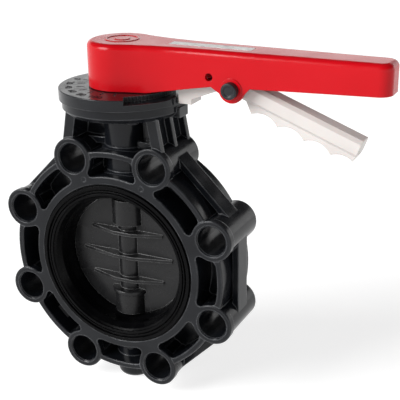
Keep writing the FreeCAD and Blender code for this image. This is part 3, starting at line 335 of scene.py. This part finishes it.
def paint_nodes():
    """Give every carried-over part its finish."""
    steel = metal("stainless_steel", (0.60, 0.60, 0.59), 0.30, TURNED)
    seal = rubber("o_ring_rubber", (0.006, 0.006, 0.007), (0.011, 0.011, 0.012), 0.42)
    bearing = moulded("bearing_plastic", (0.62, 0.60, 0.55), (0.70, 0.68, 0.63),
                      (0.78, 0.76, 0.72), 0.4, gloss=0.5)
    red = red_plastic()
    finishes = {
        # the body's third colour is a painted highlight along its edges
        "valve_body": moulded("body_black_plastic", (0.0032, 0.0037, 0.005), (0.006, 0.0068, 0.0086),
                              (0.13, 0.134, 0.142), 0.18, gloss=0.25, edge=0.0013, grain=0.000012),
        "seat_liner": rubber("liner_rubber", (0.0008, 0.0008, 0.001), (0.0018, 0.0018, 0.0021),
                             0.26, gloss=0.07),
        # the disc's third colour is a painted highlight along its edges and fins
        "disc": moulded("disc_grey_plastic", (0.0065, 0.0065, 0.007), (0.0095, 0.0095, 0.010),
                        (0.28, 0.28, 0.28), 0.26, gloss=0.26, edge=0.0006, grain=0.000015),
        # the dial plate's third colour is a painted highlight along its edges
        "dial_plate": moulded("dial_plate_plastic", (0.0045, 0.005, 0.0065), (0.008, 0.009, 0.011),
                              (0.12, 0.125, 0.13), 0.19, gloss=0.29, edge=0.0005, grain=0.00001),
        "handle": red,
        "hub_cap": red,
        "label_plate": label_foil(),
        "pivot_pin": moulded("pin_black_plastic", (0.010, 0.011, 0.013), (0.016, 0.017, 0.020),
                             (0.05, 0.05, 0.055), 0.36),
        "trigger": trigger_plastic(),
        "plate_inserts": metal("turned_brass", (0.74, 0.55, 0.26), 0.28, FINELY_TURNED),
    }
    for name in ("stem", "drive_bush", "handle_washer", "handle_screw", "pivot_pin_clip",
                 "trigger_spring"):
        finishes[name] = steel
    finishes["plate_screws"] = metal("blackened_steel", (0.03, 0.03, 0.032), 0.45, TURNED)
    for name in ("stem_o_rings", "bush_o_rings", "lower_stem_o_ring", "disc_o_ring_upper",
                 "disc_o_ring_lower"):
        finishes[name] = seal
    for name in ("upper_bush", "lower_bush", "thrust_washer"):
        finishes[name] = bearing
    for name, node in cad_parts.items():
        node.data.materials.clear()
        node.data.materials.append(finishes[name])


# ---- dial marks ---------------------------------------------------------------------------
def text_mesh(name, text, height, thickness):
    """Text as a mesh that lies flat, centred on the origin."""
    curve = bpy.data.curves.new(name, "FONT")
    curve.body = text
    curve.size = height * FONT_SIZE
    curve.align_x = "CENTER"
    curve.align_y = "CENTER"
    curve.extrude = thickness / 2
    curve.resolution_u = DIGIT_STEPS
    holder = bpy.data.objects.new(name + "_curve", curve)
    bpy.context.scene.collection.objects.link(holder)
    bpy.context.view_layer.update()
    graph = bpy.context.evaluated_depsgraph_get()
    mesh = bpy.data.meshes.new_from_object(holder.evaluated_get(graph))
    bpy.data.objects.remove(holder)
    return mesh


def link_piece(name, mesh, material, body):
    """Put a mesh in the scene as a piece that rides on a body."""
    piece = bpy.data.objects.new(name, mesh)
    bpy.context.scene.collection.objects.link(piece)
    piece.data.materials.clear()
    piece.data.materials.append(material)
    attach(piece, body)
    return piece


def dial_digits(material):
    """Opening in percent beside the ticks, read from outside the plate."""
    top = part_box("dial_plate")[1].z
    for i in range(DIGIT_COUNT):
        angle = math.radians(TICK_FROM + (i + DIGIT_FIRST_TICK) * TICK_STEP)
        label = str(round(FULLY_OPEN * i / (DIGIT_COUNT - 1)))
        mesh = text_mesh("dial_digits", label, DIGIT_HEIGHT, DIGIT_THICKNESS)
        turn = Matrix.Rotation(angle + math.pi / 2, 4, "Z")
        spot = (DIGIT_RADIUS * math.cos(angle), DIGIT_RADIUS * math.sin(angle), top)
        mesh.transform(Matrix.Translation(spot) @ turn)
        link_piece(f"dial_number_{label}", mesh, material, "root")


def bar(length, width, height, chamfer):
    """Corners and faces of a bar along X whose top edges are chamfered, lying on z = 0."""
    outlines = ((0, 0, 0), (height - chamfer, 0, 0), (height, chamfer, chamfer))
    corners = []
    for z, in_x, in_y in outlines:
        x, y = length / 2 - in_x, width / 2 - in_y
        corners += [(-x, -y, z), (x, -y, z), (x, y, z), (-x, y, z)]
    faces = [(3, 2, 1, 0), (8, 9, 10, 11)]    # the bottom and the top
    for low in (0, 4):
        for i in range(4):
            j = (i + 1) % 4
            faces.append((low + i, low + j, low + 4 + j, low + 4 + i))
    return corners, faces


def dial_ticks(material):
    """Dark inlays in the plate's tick grooves."""
    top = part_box("dial_plate")[1].z
    middle = TICK_INNER + TICK_LENGTH / 2
    for i in range(TICK_COUNT):
        mesh = bpy.data.meshes.new("dial_tick")
        corners, faces = bar(TICK_LENGTH - TICK_GAP, TICK_WIDTH - TICK_GAP, TICK_DEPTH, TICK_GAP)
        mesh.from_pydata(corners, [], faces)
        turn = Matrix.Rotation(math.radians(TICK_FROM + i * TICK_STEP), 4, "Z")
        mesh.transform(turn @ Matrix.Translation((middle, 0, top - TICK_DEPTH)))
        link_piece(f"dial_tick_{i + 1}", mesh, material, "root")


# ---- spring -------------------------------------------------------------------------------
def coil_mesh(low, high):
    """A coil of round wire, upright in the box between two corners and as wide as it is along X."""
    middle = (low + high) / 2
    radius = (high.x - low.x) / 2 - WIRE_RADIUS
    rise = high.z - low.z - 2 * WIRE_RADIUS
    steps = COIL_TURNS * COIL_STEPS
    corners = []
    for i in range(steps + 1):
        turn = 2 * math.pi * i / COIL_STEPS
        z = low.z + WIRE_RADIUS + rise * i / steps
        for j in range(WIRE_SIDES):
            side = 2 * math.pi * j / WIRE_SIDES
            reach = radius + WIRE_RADIUS * math.cos(side)
            corners.append((middle.x + reach * math.cos(turn), middle.y + reach * math.sin(turn),
                            z + WIRE_RADIUS * math.sin(side)))
    start_cap = tuple(range(WIRE_SIDES))
    end_cap = tuple(reversed(range(steps * WIRE_SIDES, (steps + 1) * WIRE_SIDES)))
    faces = [start_cap, end_cap]
    for i in range(steps):
        for j in range(WIRE_SIDES):
            k = (j + 1) % WIRE_SIDES
            a, b = i * WIRE_SIDES, (i + 1) * WIRE_SIDES
            faces.append((a + j, b + j, b + k, a + k))
    mesh = bpy.data.meshes.new("coil")
    mesh.from_pydata(corners, [], faces)
    for face in mesh.polygons:
        face.use_smooth = len(face.vertices) == 4    # the round side, not the flat caps
    return mesh


def make_spring(material):
    """The trigger's spring as a coil that rides on the rotor; the real spring shortens as the
    trigger is squeezed, but this coil is made at one length.
    """
    low, high = (Vector(corner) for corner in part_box("trigger_spring"))
    spring = link_piece("trigger_coil_spring", coil_mesh(low, high), material, "rotor")
    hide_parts("trigger_spring")
    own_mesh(spring)


# ---- stage --------------------------------------------------------------------------------
def lit_paper(name, glow):
    """Pale studio paper that glows evenly."""
    surface = Surface(name, (PAPER_TONE,) * 3, 0.9)
    dark, light = (PAPER_TONE - PAPER_UNEVEN,) * 3, (PAPER_TONE + PAPER_UNEVEN,) * 3
    surface.paint(surface.tint(surface.noise(3), dark, light))
    surface.set(Specular_IOR_Level=0.0, Emission_Color=(1, 1, 1, 1), Emission_Strength=glow)
    return surface.material


def make_floor():
    """A plain pale floor under the lowest point, and a low pale wall far round it."""
    low = cad_bounds[0][2]
    bpy.ops.mesh.primitive_plane_add(size=FLOOR_REACH * WALL_RADIUS, location=(0, 0, low))
    floor = bpy.context.object
    floor.name = "floor"
    floor.data.materials.append(lit_paper("floor_paper", FLOOR_GLOW))
    bpy.ops.mesh.primitive_cylinder_add(vertices=WALL_SIDES, radius=WALL_RADIUS, depth=WALL_HEIGHT,
                                        end_fill_type="NOTHING",
                                        location=(0, 0, low + WALL_HEIGHT / 2))
    wall = bpy.context.object
    wall.name = "backdrop"
    wall.visible_shadow = False
    wall.data.materials.append(lit_paper("backdrop_paper", WALL_GLOW))


def sun_light(name, direction, strength, softness):
    """A soft light from far away; softness is its width in degrees."""
    data = bpy.data.lights.new(name, "SUN")
    data.energy = strength
    data.angle = math.radians(softness)
    light = bpy.data.objects.new(name, data)
    light.rotation_euler = Vector(direction).to_track_quat("-Z", "Y").to_euler()
    bpy.context.scene.collection.objects.link(light)


def make_light():
    """Soft studio light: a dim room and a wide key from the front left; floor and wall glow too."""
    world = bpy.data.worlds.new("studio")
    world.use_nodes = True
    background = world.node_tree.nodes["Background"]
    background.inputs["Color"].default_value = (1, 1, 1, 1)
    background.inputs["Strength"].default_value = ROOM
    bpy.context.scene.world = world
    sun_light("key", KEY_DIRECTION, KEY, KEY_WIDTH)


def make_camera():
    """The camera, placed and turned as set at the top."""
    azimuth, elevation = math.radians(CAMERA_AZIMUTH), math.radians(CAMERA_ELEVATION)
    level = math.cos(elevation)
    back = Vector((math.sin(azimuth) * level, -math.cos(azimuth) * level, math.sin(elevation)))
    right = Vector((math.cos(azimuth), math.sin(azimuth), 0))
    turn = Matrix((right, back.cross(right), back)).transposed().to_4x4()
    data = bpy.data.cameras.new("camera")
    data.sensor_width = SENSOR_WIDTH
    data.lens = CAMERA_LENS
    camera = bpy.data.objects.new("camera", data)
    camera.matrix_world = (Matrix.Translation(CAMERA_PLACE) @ turn
                           @ Matrix.Rotation(math.radians(CAMERA_ROLL), 4, "Z"))
    bpy.context.scene.collection.objects.link(camera)
    bpy.context.scene.camera = camera


make_camera()
make_light()
make_floor()
paint_nodes()
dial_ink = ink("dial_ink", (0.004, 0.004, 0.005))
dial_digits(dial_ink)
dial_ticks(dial_ink)
make_spring(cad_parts["stem"].data.materials[0])
bpy.context.scene.view_settings.view_transform = "Standard"
